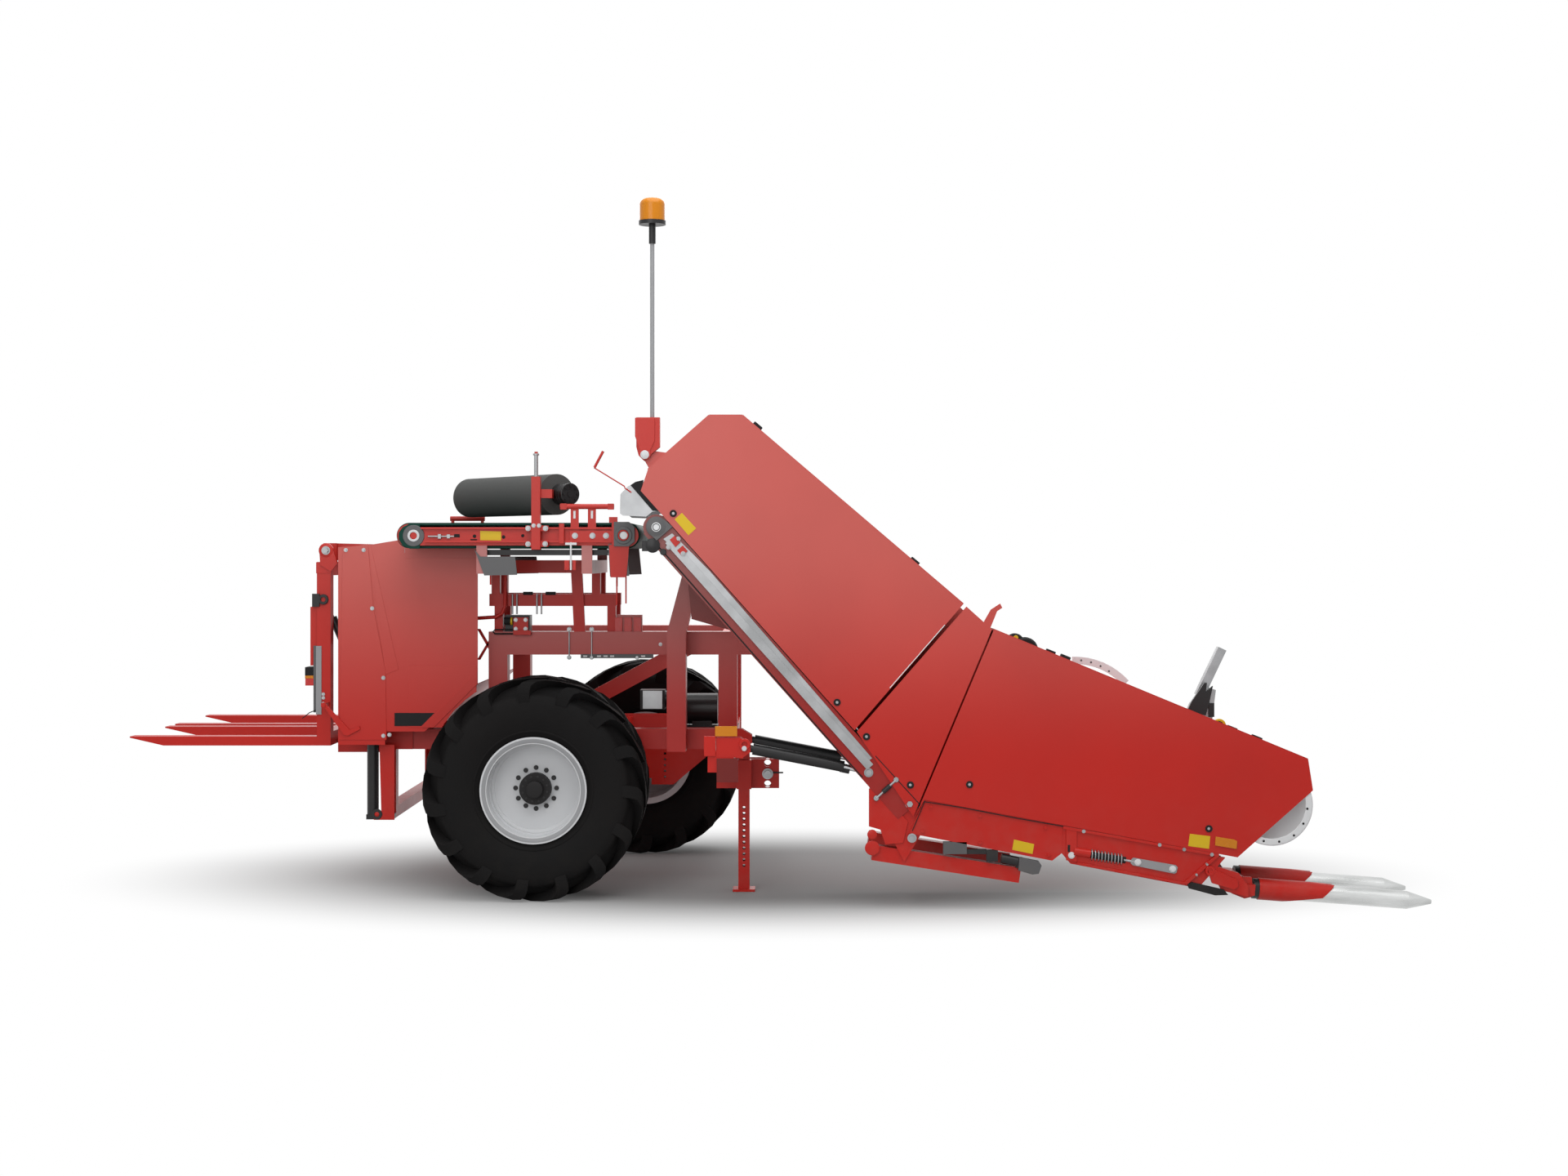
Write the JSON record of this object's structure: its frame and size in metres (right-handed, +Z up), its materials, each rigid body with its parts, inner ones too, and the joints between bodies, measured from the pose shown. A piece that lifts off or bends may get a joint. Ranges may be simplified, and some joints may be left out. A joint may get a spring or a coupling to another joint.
{
  "type": "trailed one-row cabbage harvester",
  "caption": "Two-wheeled trailed harvester with an offset picking elevator, a cross conveyor with a diverter roller and a tilting fork mast for a box.",
  "frame": {"origin": "on the ground, in the middle of the machine's length and width", "axes": "+X forwards in the direction of travel, +Y to the left-hand side, +Z up"},
  "size_m": [7.4869, 2.865, 3.961],
  "materials": {
    "red_paint": "semi-gloss",
    "steel": "satin",
    "rim_grey": "satin",
    "tyre_black": "matte",
    "black_metal": "satin",
    "belt_rubber": "matte",
    "roller_foam": "matte",
    "white_drum": "satin",
    "amber_lens": "gloss",
    "grey_metal": "satin",
    "lamp_red": "gloss"
  },
  "bodies": {
    "chassis": {"frame_rails": "red_paint", "cross_members": "red_paint", "frame_posts": "red_paint", "axle_legs": "red_paint", "bent_post": "red_paint", "outrigger": "red_paint", "hitch_plates": "red_paint", "hitch_pin": "steel", "conveyor_belt": "belt_rubber", "conveyor_rollers": "grey_metal", "conveyor_frames": "red_paint", "conveyor_bearers": "red_paint", "conveyor_stand": "red_paint", "diverter_motor": "black_metal", "diverter_post": "red_paint", "discharge_walls": "red_paint", "discharge_floor": "red_paint", "mast_posts": "red_paint", "mast_barrel": "black_metal", "hydraulic_blocks": "black_metal", "deflector_plates": "grey_metal"},
    "near_wheel": {"near_tyre": "tyre_black", "near_rim": "rim_grey", "near_hub": "black_metal"},
    "far_wheel": {"far_tyre": "tyre_black", "far_rim": "rim_grey", "far_hub": "black_metal"},
    "picking_unit": {"elevator_covers": "red_paint", "front_covers": "red_paint", "elevator_beams": "red_paint", "side_panels": "red_paint", "unit_steelwork": "steel", "front_beams": "red_paint", "head_brackets": "red_paint", "elevator_belts": "belt_rubber", "belt_rollers": "grey_metal", "intake_belts": "belt_rubber", "front_drum": "white_drum", "head_tubes": "red_paint", "cone_motors": "black_metal"},
    "near_cone_body": {"near_cone": "steel"},
    "far_cone_body": {"far_cone": "steel"},
    "beacon": {"beacon_bracket": "red_paint", "beacon_pole": "steel", "beacon_base": "black_metal", "beacon_dome": "amber_lens"},
    "lift_barrel_pair": {"lift_barrels": "black_metal"},
    "lift_rod_pair": {"lift_rods": "steel"},
    "fork_carriage": {"carriage_plates": "red_paint", "carriage_bars": "red_paint", "mast_rod": "steel"},
    "fork_frame": {"fork_bars": "red_paint", "fork_posts": "red_paint", "fork_tines": "red_paint", "lamp_board": "grey_metal", "tail_lamp": "lamp_red"},
    "tilt_barrel_body": {"tilt_barrel": "black_metal"},
    "tilt_rod_body": {"tilt_rod": "steel"},
    "diverter": {"diverter_roller": "roller_foam"},
    "stand": {"stand_leg": "red_paint"}
  },
  "joints": [
    {"name": "near_wheel_spin", "type": "hinge", "parent": "chassis", "child": "near_wheel", "pos_m": [-1.299, -0.845, 0.635], "axis": [0, 1, 0], "continuous": true},
    {"name": "far_wheel_spin", "type": "hinge", "parent": "chassis", "child": "far_wheel", "pos_m": [-0.788, 1.145, 0.635], "axis": [0, 1, 0], "continuous": true},
    {"name": "picking_unit_lift", "type": "hinge", "parent": "chassis", "child": "picking_unit", "pos_m": [-0.58, -1.0625, 2.13], "axis": [0, -1, 0], "range_deg": [0, 8]},
    {"name": "near_cone_spin", "type": "hinge", "parent": "picking_unit", "child": "near_cone_body", "pos_m": [3.743, -1.315, 0.0396], "axis": [0.9972, 0, -0.075], "continuous": true},
    {"name": "far_cone_spin", "type": "hinge", "parent": "picking_unit", "child": "far_cone_body", "pos_m": [3.743, -0.815, 0.0396], "axis": [0.9972, 0, -0.075], "continuous": true},
    {"name": "beacon_fold", "type": "hinge", "parent": "picking_unit", "child": "beacon", "pos_m": [-0.648, -1.365, 2.529], "axis": [0, -1, 0], "range_deg": [0, 90]},
    {"name": "lift_barrel_swing", "type": "hinge", "parent": "chassis", "child": "lift_barrel_pair", "pos_m": [-0.088, -1.0625, 0.905], "axis": [0, -1, 0], "range_deg": [0, 14.21]},
    {"name": "lift_rod_slide", "type": "slide", "parent": "lift_barrel_pair", "child": "lift_rod_pair", "axis": [0.9818, 0, -0.1898], "range_m": [0, 0.1643]},
    {"name": "fork_lift", "type": "slide", "parent": "chassis", "child": "fork_carriage", "axis": [0, 0, 1], "range_m": [-0.72, 0]},
    {"name": "fork_tilt", "type": "hinge", "parent": "fork_carriage", "child": "fork_frame", "pos_m": [-2.588, 0.278, 2.009], "axis": [0, 1, 0], "range_deg": [0, 12]},
    {"name": "tilt_barrel_swing", "type": "hinge", "parent": "fork_carriage", "child": "tilt_barrel_body", "pos_m": [-2.506, -0.486, 1.467], "axis": [0, -1, 0], "range_deg": [0, 12.25]},
    {"name": "tilt_rod_slide", "type": "slide", "parent": "tilt_barrel_body", "child": "tilt_rod_body", "axis": [-0.4065, 0, 0.9136], "range_m": [0, 0.041]},
    {"name": "diverter_spin", "type": "hinge", "parent": "chassis", "child": "diverter", "pos_m": [-1.18, -0.93, 2.326], "axis": [-0.6157, 0.788, 0], "continuous": true},
    {"name": "stand_lift", "type": "slide", "parent": "chassis", "child": "stand", "axis": [0, 0, 1], "range_m": [0, 0.45]}
  ],
  "couplings": [
    {"joint": "lift_barrel_swing", "follows": "picking_unit_lift", "ratio": 1.775},
    {"joint": "lift_rod_slide", "follows": "picking_unit_lift", "m_per_rad": 1.175},
    {"joint": "tilt_barrel_swing", "follows": "fork_tilt", "ratio": 1.02},
    {"joint": "tilt_rod_slide", "follows": "fork_tilt", "m_per_rad": 0.195}
  ]
}
